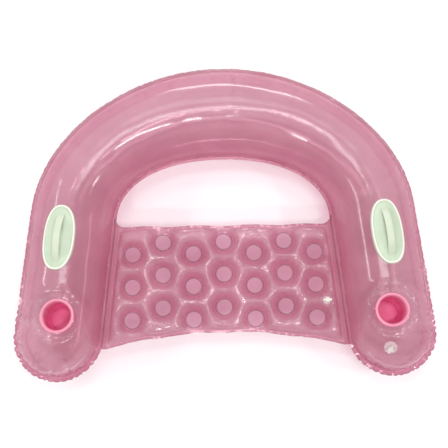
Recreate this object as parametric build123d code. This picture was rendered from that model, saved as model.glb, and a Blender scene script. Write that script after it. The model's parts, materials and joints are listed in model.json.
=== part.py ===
from build123d import *
import os
from math import asin, atan2, cos, degrees, hypot, pi, sin, sqrt

# Inflatable lounge float, inflated and lying on a flat floor. Millimetres, +Z up.
# +X is to the right, +Y towards the curved backrest, the open front faces -Y.
# The origin is under the middle of the overall box, on the floor.
# Films are 0.36 mm on the real float; here every film is FILM thick, so that it stays a sound solid.

FILM = 1.2            # thickness of each film
SEAM_Z = 140.0        # height of the flat seam where the upper and lower sheets are welded
TUBE_HEIGHT = 140.0   # height of the tube above, and depth below, the seam
ARM_WIDTH = 128.0     # half width of the tube along the arms and the lobes
ARCH_WIDTH = 148.0    # half width of the tube at the middle of the backrest
REST_FLAT = 18.0      # half width of the flat strip that the tube rests on
CROWN_FLAT = 6.0      # and of the one along its crown
HEM = 14.0            # width of the welded hem outside the tube
OPENING_HEM = 16.0    # width of the hem at the top of the leg opening

LOBE = (527.0, -379.0)        # centre of each rounded front end
ARM_TOP = (488.5, 20.0)       # where each straight arm runs into the backrest
BACKREST_TOP = 359.0          # centre line at the middle of the backrest
HALF_STATIONS = 4             # steps from an arm to the middle of the backrest

SEAT_BACK = -30.0        # back edge of the seat
SEAT_FRONT = -375.0      # front edge in the middle
SEAT_CORNER = -424.0     # front edge beside the lobes
SEAT_HEM = 8.0           # flat hem along the seat's back and front edges
SEAT_SIDE_HEM = 14.0     # and along its sides
SEAT_HEIGHT = 36.0       # height of the seat above, and depth below, the seam
SEAT_SLOPE = 30.0        # how far the seat's edges slope in over that height
WELD_RADIUS = 27.0       # spot welds that tie the seat's two sheets together
DIMPLE_RADIUS = 42.0     # mouth of the dimple around each weld
WELD_FILM = 0.8          # fused film in a spot weld
WELD_PITCH = 98.0        # columns of welds, and welds in a column
WELD_ROW = 106.0
ODD_COLUMN = -122.0      # first weld of columns 1, 3, 5 and 7
EVEN_COLUMN = -84.0      # first weld of columns 2, 4 and 6

CUP = (502.0, -328.0)    # centre of each drink well
CUP_RADIUS = 41.5
CUP_DEPTH = 98.0
CUP_TOP = 286.0
RIM_RADIUS = 55.0
RIM_HEIGHT = 5.0
RIM_ROUND = 1.8          # rounding of the rim's upper edges
COLLAR_SPREAD = 30.0     # the film is drawn up to the rim over a cone that spreads this much
COLLAR_HEIGHT = 66.0
COLLAR_RADIUS = 87.0     # the film inside this radius is a piece of its own

HANDLE = (505.0, -87.0)  # centre of each handle
HANDLE_LENGTH = 203.0
HANDLE_WIDTH = 98.0
PAD = 3.0                # thickness of a handle's base
LIP = 4.0                # raised lip round the base
LIP_WIDTH = 7.0
GRIP_LENGTH = 150.0
GRIP_WIDTH = 22.0
GRIP_THICKNESS = 9.0
GRIP_ROUND = 2.6         # rounding of the grip's long edges
GRIP_FOOT = 14.4         # length of each end of the grip where it meets the base
FINGER_GAP = 19.0        # clear height under the middle of the grip

MAIN_VALVE = (494.0, -438.0)
SEAT_VALVE = (322.0, -284.0)
MAIN_FLANGE = 20.0       # radius of each valve's base
SEAT_FLANGE = 13.0
FLANGE_RISE = 0.8        # how far the base stands above the film
VALVE_HOLE = 6.4         # radius of the hole that the stem slides in
RING_OUTER = 10.5        # raised ring round the hole
RING_INNER = 9.0
RING_HEIGHT = 2.6
STEM_RADIUS = 6.0
STEM_TOP = 14.0          # height of the stem above the film
STEM_DEPTH = 5.5         # and how far it reaches below
STEM_LIP = 7.5
LIP_HEIGHT = 1.6
FOOT_RADIUS = 8.2        # foot that keeps the stem from being pulled out
FOOT_TOP = -4.0
FOOT_HEIGHT = 1.5
STEM_BORE = 2.4
SOCKET_RADIUS = 3.8      # where the stopper's plug goes in
SOCKET_DEPTH = 7.0
PLUG_RADIUS = 3.55       # widest part of the plug
PLUG_BEAD = 1.6          # length of that part
PLUG_LENGTH = 6.0
PLUG_TIP = 2.2           # radii of its taper
PLUG_TOP = 3.2
CAP_HEIGHT = 2.2         # head of the stopper
TAB = (9.0, 7.0)         # length and width of its pull tab
TETHER_X = -14.0         # the stopper's tether bends here
TETHER_WIDTH = 5.0
TETHER_THICKNESS = 1.2
FLAP_RADIUS = 3.6
FLAP_THICKNESS = 0.8
CLEAR = 0.3

UPPER = (1, CROWN_FLAT)
LOWER = (-1, REST_FLAT)
UP = (0, 0, 1)


def out_of_arm():
    """Unit vector square to the right arm, pointing away from the seat."""
    return Vector(ARM_TOP[1] - LOBE[1], LOBE[0] - ARM_TOP[0], 0).normalized()


OUTWARD = out_of_arm()
ARM_LENGTH = hypot(LOBE[0] - ARM_TOP[0], LOBE[1] - ARM_TOP[1])


def backrest_stations():
    """Centre, outward direction, half width and inner hem at places along the backrest, right to left.

    The centre line is part of an ellipse that runs on from both arms without a kink.
    """
    rise = BACKREST_TOP - ARM_TOP[1]
    lean = ARM_TOP[0] * OUTWARD.Y / OUTWARD.X
    below = lean * rise ** 2 / (ARM_TOP[0] ** 2 - 2 * rise * lean)
    half_depth = rise + below
    half_span = ARM_TOP[0] / sqrt(1 - (below / half_depth) ** 2)
    start = asin(below / half_depth)
    stations = []
    for k in range(2 * HALF_STATIONS + 1):
        angle = start + (pi - 2 * start) * k / (2 * HALF_STATIONS)
        across = half_span * cos(angle)
        centre = Vector(across, BACKREST_TOP - half_depth * (1 - sin(angle)), 0)
        outward = Vector(half_depth * cos(angle), half_span * sin(angle), 0).normalized()
        swell = sin(pi * k / (2 * HALF_STATIONS)) ** 4
        width = ARM_WIDTH + (ARCH_WIDTH - ARM_WIDTH) * swell
        hem = HEM + (OPENING_HEM - HEM) * swell
        stations.append((centre, outward, width, hem))
    return stations


STATIONS = backrest_stations()


def section_plane(point, outward):
    """Upright plane across the tube: its x runs outward and its y runs up from the seam."""
    along = Vector(outward.Y, -outward.X, 0)
    return Plane(origin=(point.X, point.Y, SEAM_Z), x_dir=outward, z_dir=along)


def tube_section(half, skin, half_width):
    """Upper or lower half of the tube's cross-section, skin inside its outer face."""
    side, flat = half
    width = half_width - skin
    height = side * (TUBE_HEIGHT - skin)
    return make_face([
        Line((-width, 0), (width, 0)),
        EllipticalCenterArc((flat, 0), width - flat, abs(height), 0, arc_size=90 * side),
        Line((flat, height), (-flat, height)),
        EllipticalCenterArc((-flat, 0), width - flat, abs(height), 180, arc_size=-90 * side),
    ])


def lobe_section(half, skin):
    """Half of tube_section, which turned about the lobe's middle gives its rounded end."""
    side, flat = half
    width = ARM_WIDTH - skin
    height = side * (TUBE_HEIGHT - skin)
    return make_face([
        Line((0, 0), (width, 0)),
        EllipticalCenterArc((flat, 0), width - flat, abs(height), 0, arc_size=90 * side),
        Line((flat, height), (0, height)),
        Line((0, height), (0, 0)),
    ])


def both_sides(shape):
    return shape + mirror(shape, about=Plane.YZ)


ARM_FRONT = section_plane(Vector(*LOBE), OUTWARD)


def arm(half, skin):
    return extrude(ARM_FRONT * tube_section(half, skin, ARM_WIDTH), amount=-ARM_LENGTH)


def tube(half, skin):
    """One half of the U-shaped tube as a full volume, skin inside the outer film."""
    cuts = []
    for centre, outward, width, _ in STATIONS:
        cuts.append(section_plane(centre, outward) * tube_section(half, skin, width))
    axis = Axis((LOBE[0], LOBE[1], 0), UP)
    lobe = revolve(ARM_FRONT * lobe_section(half, skin), axis, -180)
    return loft(cuts) + both_sides(arm(half, skin) + lobe)


def hem_plan():
    """Outline of both sheets, hems included."""
    outer = [centre + outward * (width + HEM) for centre, outward, width, _ in STATIONS]
    inner = [centre - outward * (width + hem) for centre, outward, width, hem in STATIONS]
    edges = [Spline(*outer), Spline(*inner)]
    reach = OUTWARD * (ARM_WIDTH + HEM)
    lobe = Vector(*LOBE)
    ahead = Vector(reach.Y, -reach.X, 0)
    arm_edges = [
        Line(outer[0], lobe + reach),
        ThreePointArc(lobe + reach, lobe + ahead, lobe - reach),
        Line(lobe - reach, inner[0]),
    ]
    for edge in arm_edges:
        edges.append(edge)
        edges.append(mirror(edge, about=Plane.YZ))
    return make_face(edges)


def at_right_and_left(name, shape):
    return {"right_" + name: shape, "left_" + name: mirror(shape, about=Plane.YZ)}


def collar(skin):
    """The film's cone up to the rim of the right-hand drink well."""
    slope = COLLAR_SPREAD / COLLAR_HEIGHT
    top = RIM_RADIUS - skin
    cone = Cone(top + slope * (COLLAR_HEIGHT - skin), top, COLLAR_HEIGHT - skin,
                align=(Align.CENTER, Align.CENTER, Align.MAX))
    return Pos(CUP[0], CUP[1], CUP_TOP - RIM_HEIGHT - skin) * cone


def valve_place(centre):
    """Where a valve stands: flat on the seat, or square to the film on the right lobe."""
    if centre == SEAT_VALVE:
        return Location((centre[0], centre[1], SEAM_Z + SEAT_HEIGHT))
    dx = centre[0] - LOBE[0]
    dy = centre[1] - LOBE[1]
    reach = hypot(dx, dy)
    drop = sqrt(1 - (reach / ARM_WIDTH) ** 2)
    lean = degrees(atan2(TUBE_HEIGHT * reach, ARM_WIDTH ** 2 * drop))
    turn = degrees(atan2(dy, dx))
    height = SEAM_Z + TUBE_HEIGHT * drop
    return Location((centre[0], centre[1], height)) * Rot(0, 0, turn) * Rot(0, lean, 0)


def main_sheets():
    plan = hem_plan()
    upper = tube(UPPER, 0) + both_sides(collar(0))
    upper += extrude(Pos(0, 0, SEAM_Z) * plan, FILM)
    upper -= tube(UPPER, FILM) + both_sides(collar(FILM))
    well = Cylinder(CUP_RADIUS + FILM, CUP_DEPTH, align=(Align.CENTER, Align.CENTER, Align.MAX))
    upper -= both_sides(Pos(CUP[0], CUP[1], CUP_TOP) * well)
    upper -= valve_place(MAIN_VALVE) * Cylinder(MAIN_FLANGE, 10 * FILM)
    zone = Cylinder(COLLAR_RADIUS, TUBE_HEIGHT, align=(Align.CENTER, Align.CENTER, Align.MAX))
    zone = Pos(CUP[0], CUP[1], CUP_TOP) * zone
    collars = at_right_and_left("well_collar", upper & zone)
    upper -= both_sides(zone)
    lower = tube(LOWER, 0)
    lower += extrude(Pos(0, 0, SEAM_Z) * plan, -FILM)
    lower -= tube(LOWER, FILM)
    return {"main_top_sheet": upper, "main_bottom_sheet": lower, **collars}


def seat_side(y, gap):
    """x of a line beside the right arm, gap away from the arm's centre line."""
    slope = (LOBE[0] - ARM_TOP[0]) / (LOBE[1] - ARM_TOP[1])
    return LOBE[0] + (y - LOBE[1]) * slope - gap / OUTWARD.X


def seat_plan(inset, side_inset):
    gap = ARM_WIDTH + HEM + side_inset
    back = SEAT_BACK - inset
    front = SEAT_FRONT + inset
    corner = SEAT_CORNER + inset
    back_x = seat_side(back, gap)
    corner_x = seat_side(corner, gap)
    return make_face([
        Line((back_x, back), (-back_x, back)),
        Line((-back_x, back), (-corner_x, corner)),
        ThreePointArc((-corner_x, corner), (0, front), (corner_x, corner)),
        Line((corner_x, corner), (back_x, back)),
    ])


def weld_places():
    places = []
    for column in range(7):
        first = EVEN_COLUMN if column % 2 else ODD_COLUMN
        for row in range(3):
            places.append(((column - 3) * WELD_PITCH, first - row * WELD_ROW))
    return places


def seat_volume(skin):
    """The puffed upper half of the seat as a full volume, with a dimple down to each weld."""
    foot = Pos(0, 0, SEAM_Z) * seat_plan(SEAT_HEM + skin, SEAT_SIDE_HEM + skin)
    inset = SEAT_SLOPE + skin
    crown = seat_plan(SEAT_HEM + inset, SEAT_SIDE_HEM + inset)
    crown = Pos(0, 0, SEAM_Z + SEAT_HEIGHT - skin) * crown
    body = loft([foot, crown], ruled=True)
    base = SEAM_Z + (FILM + WELD_FILM / 2 if skin == 0 else 0)
    height = SEAM_Z + SEAT_HEIGHT - base
    cone = Cone(WELD_RADIUS + skin, DIMPLE_RADIUS + skin, height,
                align=(Align.CENTER, Align.CENTER, Align.MIN))
    return body - [Pos(x, y, base) * cone for x, y in weld_places()]


def seat_sheets():
    upper = seat_volume(0) + extrude(Pos(0, 0, SEAM_Z) * seat_plan(0, 0), FILM)
    upper -= seat_volume(FILM)
    weld = Cylinder(WELD_RADIUS, WELD_FILM)
    welds = [Pos(x, y, SEAM_Z) * weld for x, y in weld_places()]
    upper -= welds
    lower = mirror(upper, about=Plane.XY.offset(SEAM_Z))
    upper -= valve_place(SEAT_VALVE) * Cylinder(SEAT_FLANGE, 10 * FILM)
    return {"seat_top_sheet": upper, "seat_bottom_sheet": lower, "seat_spot_welds": Compound(welds)}


def cups():
    top = Pos(CUP[0], CUP[1], CUP_TOP)
    down = (Align.CENTER, Align.CENTER, Align.MAX)
    outer = CUP_RADIUS + FILM
    rim = Cylinder(RIM_RADIUS, RIM_HEIGHT, align=down) - Cylinder(outer, RIM_HEIGHT, align=down)
    rim = fillet(rim.edges().filter_by(GeomType.CIRCLE).group_by(Axis.Z)[-1], RIM_ROUND)
    wall = Cylinder(outer, CUP_DEPTH, align=down) - Cylinder(CUP_RADIUS, CUP_DEPTH, align=down)
    floor = Pos(0, 0, -CUP_DEPTH) * Cylinder(outer, FILM, align=down)
    pieces = {}
    for name, shape in (("cup_rim", rim), ("cup_wall", wall), ("cup_floor", floor)):
        pieces.update(at_right_and_left(name, top * shape))
    return pieces


def handles():
    """A base that follows the arm, with a raised lip, and a grip that bridges it."""
    turn = degrees(atan2(OUTWARD.Y, OUTWARD.X))
    place = Location((HANDLE[0], HANDLE[1], 0)) * Rot(0, 0, turn)

    def oval(inset):
        shape = Ellipse(HANDLE_WIDTH / 2 - inset, HANDLE_LENGTH / 2 - inset)
        return place * extrude(Pos(0, 0, SEAM_Z) * shape, 2 * TUBE_HEIGHT)

    film = arm(UPPER, 0)
    pad = (arm(UPPER, -PAD) - film) & oval(0)
    pad += (arm(UPPER, -PAD - LIP) - film) & (oval(0) - oval(LIP_WIDTH))

    crown = SEAM_Z + TUBE_HEIGHT
    half = GRIP_LENGTH / 2
    gap_top = crown + PAD + FINGER_GAP
    outer = ThreePointArc((-half, crown), (0, gap_top + GRIP_THICKNESS), (half, crown))
    inner_half = half - GRIP_FOOT
    inner = ThreePointArc((-inner_half, crown), (0, gap_top), (inner_half, crown))
    side = make_face([outer, Line((half, crown), (inner_half, crown)), inner,
                      Line((-inner_half, crown), (-half, crown))])
    grip = extrude(Plane.YZ * side, GRIP_WIDTH / 2, both=True)
    long_edges = grip.edges().filter_by(GeomType.CIRCLE)
    grip = place * fillet(long_edges, GRIP_ROUND)
    grip -= arm(UPPER, -PAD)
    return {**at_right_and_left("handle_base", pad), **at_right_and_left("handle_grip", grip)}


def valve(name, centre, flange):
    """Flanged valve: the stem pushes in through its base, and a tethered stopper plugs it."""
    place = valve_place(centre)
    down = (Align.CENTER, Align.CENTER, Align.MAX)
    up = (Align.CENTER, Align.CENTER, Align.MIN)
    tether_length = -TETHER_X - CLEAR
    seat = STEM_TOP + CLEAR

    base = Pos(0, 0, FLANGE_RISE) * Cylinder(flange, FLANGE_RISE + 2 * FILM, align=down)
    base += Cylinder(RING_OUTER, RING_HEIGHT, align=up) - Cylinder(RING_INNER, RING_HEIGHT, align=up)
    base -= Cylinder(VALVE_HOLE, 2 * STEM_TOP)
    notch = Box(-TETHER_X, TETHER_WIDTH + 2 * CLEAR, RING_HEIGHT, align=up)
    base -= Pos(TETHER_X / 2, 0, FLANGE_RISE) * notch

    stem = Pos(0, 0, STEM_TOP) * Cylinder(STEM_RADIUS, STEM_TOP + STEM_DEPTH, align=down)
    stem += Pos(0, 0, STEM_TOP) * Cylinder(STEM_LIP, LIP_HEIGHT, align=down)
    stem += Pos(TETHER_X / 2, 0, STEM_TOP - LIP_HEIGHT / 2) * Box(tether_length, TETHER_WIDTH, LIP_HEIGHT)
    stem += Pos(0, 0, FOOT_TOP) * Cylinder(FOOT_RADIUS, FOOT_HEIGHT, align=down)
    stem -= Cylinder(STEM_BORE, 4 * STEM_TOP)
    stem -= Pos(0, 0, STEM_TOP) * Cylinder(SOCKET_RADIUS, SOCKET_DEPTH, align=down)

    stopper = Pos(0, 0, seat) * Cylinder(STEM_LIP, CAP_HEIGHT, align=up)
    stopper += Pos(0, 0, seat) * Cylinder(PLUG_RADIUS, PLUG_BEAD, align=down)
    stopper += Pos(0, 0, seat) * Cone(PLUG_TIP, PLUG_TOP, PLUG_LENGTH, align=down)
    stopper += Pos(TAB[0], 0, seat + CAP_HEIGHT / 2) * Box(*TAB, CAP_HEIGHT)
    tether_middle = seat + TETHER_THICKNESS / 2
    stopper += Pos(TETHER_X / 2, 0, tether_middle) * Box(tether_length, TETHER_WIDTH, TETHER_THICKNESS)

    flap = Pos(0, 0, -STEM_DEPTH - CLEAR) * Cylinder(FLAP_RADIUS, FLAP_THICKNESS, align=down)
    shapes = {"base": base, "stem": stem, "stopper": stopper, "check_flap": flap}
    return {f"{name}_valve_{part}": place * shape for part, shape in shapes.items()}


def main():
    os.makedirs("parts", exist_ok=True)
    pieces = {
        **main_sheets(), **seat_sheets(), **cups(), **handles(),
        **valve("main", MAIN_VALVE, MAIN_FLANGE), **valve("seat", SEAT_VALVE, SEAT_FLANGE),
    }
    for name, shape in pieces.items():
        export_step(shape, f"parts/{name}.step")


main()
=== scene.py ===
import json
import math

import bmesh
import bpy
import numpy as np
from mathutils import Matrix, Vector


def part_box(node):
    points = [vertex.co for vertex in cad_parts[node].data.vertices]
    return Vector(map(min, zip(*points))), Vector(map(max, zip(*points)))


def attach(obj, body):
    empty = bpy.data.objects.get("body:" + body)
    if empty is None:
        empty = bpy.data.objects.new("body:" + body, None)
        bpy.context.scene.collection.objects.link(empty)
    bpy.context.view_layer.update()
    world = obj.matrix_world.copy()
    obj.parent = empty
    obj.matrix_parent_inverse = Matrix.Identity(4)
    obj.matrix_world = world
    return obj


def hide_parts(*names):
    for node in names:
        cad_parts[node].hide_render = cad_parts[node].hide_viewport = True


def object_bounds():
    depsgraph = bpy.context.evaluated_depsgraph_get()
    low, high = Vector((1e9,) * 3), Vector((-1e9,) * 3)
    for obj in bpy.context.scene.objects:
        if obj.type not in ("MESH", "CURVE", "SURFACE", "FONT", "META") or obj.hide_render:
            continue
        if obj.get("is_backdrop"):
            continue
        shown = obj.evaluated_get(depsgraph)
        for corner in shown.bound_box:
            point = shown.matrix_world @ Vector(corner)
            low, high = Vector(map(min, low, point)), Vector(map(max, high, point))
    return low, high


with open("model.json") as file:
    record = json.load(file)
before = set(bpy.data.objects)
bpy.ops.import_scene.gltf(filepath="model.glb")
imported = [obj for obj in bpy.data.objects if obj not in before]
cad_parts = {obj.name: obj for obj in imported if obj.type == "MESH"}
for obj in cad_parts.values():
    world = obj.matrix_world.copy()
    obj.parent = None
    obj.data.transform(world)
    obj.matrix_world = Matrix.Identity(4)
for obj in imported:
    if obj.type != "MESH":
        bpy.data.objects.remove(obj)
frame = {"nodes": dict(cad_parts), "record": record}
cad_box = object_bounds()

# ------------------------------------------------------------
# Driving dimensions, in metres, in the frame of the CAD model
# ------------------------------------------------------------

TOP_LOW, TOP_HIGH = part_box("main_top_sheet")
SEAM_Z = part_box("main_bottom_sheet")[1].z      # weld between the upper and lower sheets
TUBE_HEIGHT = SEAM_Z                           # the tube just touches the floor
LOBE_REACH = 0.142                             # from a lobe's middle to its hem's edge
LOBE = (TOP_HIGH.x - LOBE_REACH, TOP_LOW.y + LOBE_REACH)
ARM_TOP = (0.4885, 0.020)                      # where each straight arm runs into the backrest
BACKREST_TOP = 0.359                           # centre line at the middle of the backrest
HEM = 0.014                                    # welded hem outside the tube
OPENING_HEM = 0.016                            # and round the leg opening
ARM_WIDTH = LOBE_REACH - HEM                   # half width of the tube along the arms
ARCH_WIDTH = TOP_HIGH.y - BACKREST_TOP - HEM   # and at the middle of the backrest
REST_FLAT = 0.018                              # half width of the strip that the tube rests on
FILM_GAP = 0.0003                              # half the distance between two welded films
HEM_STEPS = 5                                  # rows of points across a hem
ARM_STATIONS = 120                             # sections of the tube along each straight arm,
ARCH_STATIONS = 210                            # along each half of the backrest
LOBE_STATIONS = 170                            # and round each lobe
SECTION_POINTS = 36                            # points from a seam to the top of the tube
SEAM_CROWDING = 0.09                           # how much closer those points are beside the seams
UNDERSIDE_FINENESS = 0.7                       # the underside has fewer points

SEAT_LOW, SEAT_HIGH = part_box("seat_top_sheet")
SEAT_FRONT = -0.375                            # front edge of the seat in its middle
SEAT_WIDTH, SEAT_LENGTH = 0.74, 0.33           # what the film's points are counted for
SEAT_HEM = 0.008                               # welded hem along the back and the front
SEAT_SIDE_HEM = 0.014
SEAT_TUCK = 0.005                              # the seat's side hem runs this far in between the sheets
SEAT_HEIGHT = SEAT_HIGH.z - SEAM_Z
SEAT_STEP = 0.0033                             # spacing of the seat film's points
WELD_RADIUS = 0.027
WELD_PITCH = 0.098                             # between the columns of spot welds
WELD_ROW = 0.106                               # between the welds of a column
ODD_COLUMN = -0.122                            # first weld of the 1st, 3rd, 5th and 7th column
EVEN_COLUMN = -0.084                           # first weld of the 2nd, 4th and 6th column
WELD_COLUMNS = 7
WELDS_IN_COLUMN = 3
CORNER_RADIUS = 0.030                          # of the leg opening, where it meets the seat
PUFF_SHARE = 0.50                              # of the seat's height that comes from the soft membrane
RIDGE_SHARE = 0.42                             # and from the sharper ridges between the welds
LEAST_PUFF = 0.0002                            # so that the two films nowhere touch between the welds
WELD_BAND, WELD_BAND_EASE = 0.017, 0.006       # the darker band round each weld
RIDGE_HIGHLIGHT = 0.007                             # half width of the painted highlights, pale lines, on the ridges
MEMBRANE_STEPS = 2400
MEMBRANE_PUSH = 1e-3
BEAD = 0.0011                                  # height of the bead round each spot weld
WRINKLE = 0.0009                               # depth of the wrinkles in a spot weld
WRINKLE_PITCH = 0.0014                         # distance in which they run through one radian
FULL_TURN = 6.28                               # range of their directions, in radians

RIM_LOW, RIM_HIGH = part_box("right_cup_rim")
CUP = ((RIM_LOW.x + RIM_HIGH.x) / 2, (RIM_LOW.y + RIM_HIGH.y) / 2)
RIM_RADIUS = 0.0505                            # the ring is seen narrower than the weld under it
WELL_RADIUS = 0.0415
WELL_DEPTH = RIM_HIGH.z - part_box("right_cup_floor")[1].z
WELL_HOLE = WELL_RADIUS + 0.004                # hole in the film, hidden under the rim
COLLAR = 0.052                                 # width of the film that is drawn up to the rim
HEM_CLEAR = 0.02                               # film lower than this above the seam isn't drawn up
UNDER_RIM = 0.0005                             # the film meets the rim this far below its underside
WELL_GROOVE = (0.0050, 0.014, 0.009)           # depth, distance from the rim and width of the groove
WELL_LUMPS = (0.0046, 0.034, 0.011)            # and of the lumpy ring outside it
LUMPINESS = (0.9, 0.024)                       # how uneven that ring is, and the lumps' spacing
WALL_BULGE = 0.0045                            # the wall is this much wider below the rim
RIM_WOBBLE, RIM_WAVE = 0.0004, 0.0005          # the rim in and out, and up and down
WALL_CRUMPLE, FLOOR_CRUMPLE = 0.0022, 0.0012
BROAD_CRUMPLE, FINE_CRUMPLE = (1.0, 0.013), (0.6, 0.0055)      # share of that depth, and spacing

HANDLE = (0.505, -0.087)
HANDLE_HALF = (0.049, 0.1015)                  # half width and half length of a handle's base
FULLNESS = 0.85                                # below 1, the oval's ends are fuller than an ellipse's
PAD = 0.003                                    # thickness of the base's floor
LIP = 0.004                                    # height of the lip above that floor
GRIP_HALF = 0.075
GRIP_WIDTH = 0.022
FINGER_GAP = 0.019
GRIP_THICKNESS = 0.009
GRIP_SINK = 0.002                              # the grip's ends are sunk this far in the base,
GRIP_FOOT = 0.001                              # and their underside reaches this far below the film
SQUARENESS = 0.6                               # below 1, the grip's section is squarer than an ellipse
GAP_SHARE = 0.82                               # of the grip's length that the finger gap runs under
GRIP_GROOVE = 0.0007                           # depth of the dip along the grip's top
GRIP_TONE = 0.25                               # how far the grip goes to the lip's colour

MAIN_VALVE = (0.494, -0.438)
SEAT_VALVE = (0.322, -0.284)
MAIN_VALVE_FIT = (0.021, 0.014)                # radius of the flat under the base and of the stem's hole
SEAT_VALVE_FIT = (0.017, 0.0095)
VALVE_BED = 0.0012                             # the film under a valve's base is flat, this much below it
VALVE_EASE = 0.018                             # width in which the flat runs out into the film
VALVE_REACH = 0.04                             # film further than this from the base's plane stays as it is

# Families of folds: mean spacing, least length, extra length, and width as a share of the spacing
PLEAT = 0.0185
SEAM_FOLDS = (PLEAT, 0.018, 0.070, 0.20)
LONG_FOLDS = (4 * PLEAT, 0.030, 0.090, 0.09)
WELL_FOLDS = (0.0150, 0.012, 0.050, 0.22)
WELD_FOLDS = (0.0125, 0.008, 0.016, 0.22)
FOLD_FLARE = 0.07                              # a fold widens by this share of its distance from the seam
FAINTEST_FOLD = 0.35
FOLD_RANGE = 0.85                              # from the faintest fold to the strongest

SEAM_FOLD_DEPTH = 0.0110
LONG_FOLD_SHARE = 0.7                          # of the seam folds' depth
WELL_FOLD_DEPTH = 0.0036
WELD_FOLD_DEPTH = 0.0056
SCALLOP = 0.0046                               # the hem's edge is drawn in at the seam folds
SEAT_SCALLOP = 0.0022                          # and the seat's back and front edge at the welds

# Uneven waves: depth and spacing
LONG_WAVE, SHORT_WAVE = (0.0010, 0.083), (0.0008, 0.052)                       # of the tube
FINE_RUFFLE, BROAD_RUFFLE = (0.0038, 0.6 * PLEAT), (0.0030, 1.7 * PLEAT)       # its hem up and down
FRAY = (0.0006, 0.4 * PLEAT)                                                   # its hem in and out
SEAT_FLUTTER, SEAT_TREMOR = (0.0015, 0.023), (0.0007, 0.009)                   # the seat's hem up and down
SEAT_FRAY = (0.0012, 0.021)                                                    # its front in and out

SEAT_WAVE = 0.0014                             # depth of the two crossing waves of the seat
WAVE_SPACING, CROSS_SPACING = 0.031, 0.023

# How strong the folds are, as a share of their depth
BACKREST_FOLDS = 0.40                          # round the backrest; they grow to 1 on the lobes
GROWTH_START, GROWTH_LENGTH = 0.10, 0.26       # how far in front of the origin, and over what length
INNER_FOLDS = 0.10                             # along the inner seam
CALM_TURN = 0.72                               # share of a lobe's turn after which its folds fade

# Marks that the material shows on the tube, by the distance from its seam; its pale lines are painted
# highlights
BAND_END, BAND_EASE = 0.068, 0.016             # the darker band
SEAM_HIGHLIGHT, HIGHLIGHT_WIDTH = 0.058, 0.0045          # the painted highlight in it, a pale line
FAINT_FOLD, FOLD_HIGHLIGHT = 0.12, 1.6             # folds deeper than this get a pale painted highlight too

ARM_LENGTH = math.hypot(LOBE[0] - ARM_TOP[0], LOBE[1] - ARM_TOP[1])
ARM_SLOPE = (LOBE[0] - ARM_TOP[0]) / (LOBE[1] - ARM_TOP[1])
OUTWARD = np.array([ARM_TOP[1] - LOBE[1], LOBE[0] - ARM_TOP[0]]) / ARM_LENGTH
FINE = 1.0
KNOTS = 512
TABLE = np.random.default_rng(7).random((4, KNOTS))    # the random numbers behind all folds and waves


# ------------------------------------------------------------
# Small helpers
# ------------------------------------------------------------

def mesh_object(name, points, faces, values=None):
    """A smooth mesh object; values maps attribute names to one number per point."""
    mesh = bpy.data.meshes.new(name)
    mesh.from_pydata(np.asarray(points).tolist(), [], faces)
    for key, numbers in (values or {}).items():
        layer = mesh.attributes.new(key, "FLOAT", "POINT")
        layer.data.foreach_set("value", np.asarray(numbers, np.float32))
    mesh.polygons.foreach_set("use_smooth", [True] * len(mesh.polygons))
    mesh.update()
    obj = bpy.data.objects.new(name, mesh)
    bpy.context.scene.collection.objects.link(obj)
    return obj


def grid_faces(rows, columns, around=False, flip=False, start=0):
    """Quads over points laid out row by row; around joins each row's end to its start."""
    faces = []
    for r in range(rows - 1):
        for c in range(columns if around else columns - 1):
            d = (c + 1) % columns
            face = (r * columns + c, r * columns + d, (r + 1) * columns + d, (r + 1) * columns + c)
            face = tuple(i + start for i in face)
            faces.append(face[::-1] if flip else face)
    return faces


def smooth_step(value):
    """0 below 0, 1 above 1, and a smooth ramp between them."""
    t = np.clip(value, 0, 1)
    return t * t * (3 - 2 * t)


def wander(position, spacing, row):
    """Smooth repeatable noise from -1 to 1 along a line, with a knot every spacing.

    A number added to the position picks another stretch of the noise.
    """
    knot = np.floor(position / spacing).astype(int)
    t = smooth_step(position / spacing - knot)
    table = TABLE[row] * 2 - 1
    return table[knot % KNOTS] * (1 - t) + table[(knot + 1) % KNOTS] * t


def ripple(position, wave, row):
    """wander with a depth and a spacing."""
    depth, spacing = wave
    return depth * wander(position, spacing, row)


def cut_edge(hem):
    """1 at the outer edge of a hem, and 0 over its inner three quarters."""
    return smooth_step((hem - 0.75) / 0.25)


def creases(along, away, folds, shift):
    """Depth from 0 to about 1 of folds that run away from a seam, each to its own length.

    shift picks other random numbers, so that two sheets or two wells differ.
    """
    spacing, least, extra, sharp = folds
    depth = np.zeros(np.shape(along))
    base = np.floor(along / spacing).astype(int)
    for step in (-1, 0, 1):
        k = (base + step + shift) % KNOTS
        middle = (base + step + 0.5 + 0.5 * (TABLE[0][k] - 0.5)) * spacing
        length = least + extra * TABLE[1][k] ** 2
        width = sharp * spacing + FOLD_FLARE * away
        strength = FAINTEST_FOLD + FOLD_RANGE * TABLE[2][k]
        depth += strength * np.exp(-((along - middle) / width) ** 2 - away / length)
    return depth


def turned(direction, angle):
    """A direction turned anticlockwise in plan."""
    c, s = math.cos(angle), math.sin(angle)
    return np.array([direction[0] * c - direction[1] * s, direction[0] * s + direction[1] * c])


def bed_valve(film, centre, normal, flat, hole):
    """Flattens the film under a valve's base and opens the hole that the valve's stem goes through."""
    points = np.empty(3 * len(film.data.vertices))
    film.data.vertices.foreach_get("co", points)
    points = points.reshape(-1, 3)
    normal = np.array(normal) / np.linalg.norm(normal)
    offset = (points - centre) @ normal
    reach = np.linalg.norm(points - centre - offset[:, None] * normal, axis=1)
    beside = np.abs(offset) < VALVE_REACH
    weight = (1 - smooth_step((reach - flat) / VALVE_EASE)) * beside
    points -= (weight * (offset + VALVE_BED))[:, None] * normal
    film.data.vertices.foreach_set("co", points.ravel())
    mesh = bmesh.new()
    mesh.from_mesh(film.data)
    mesh.verts.ensure_lookup_table()
    inside = [mesh.verts[i] for i in np.flatnonzero((reach < hole) & beside)]
    bmesh.ops.delete(mesh, geom=inside, context="VERTS")
    mesh.to_mesh(film.data)
    mesh.free()


# ------------------------------------------------------------
# Main chamber
# ------------------------------------------------------------

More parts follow.
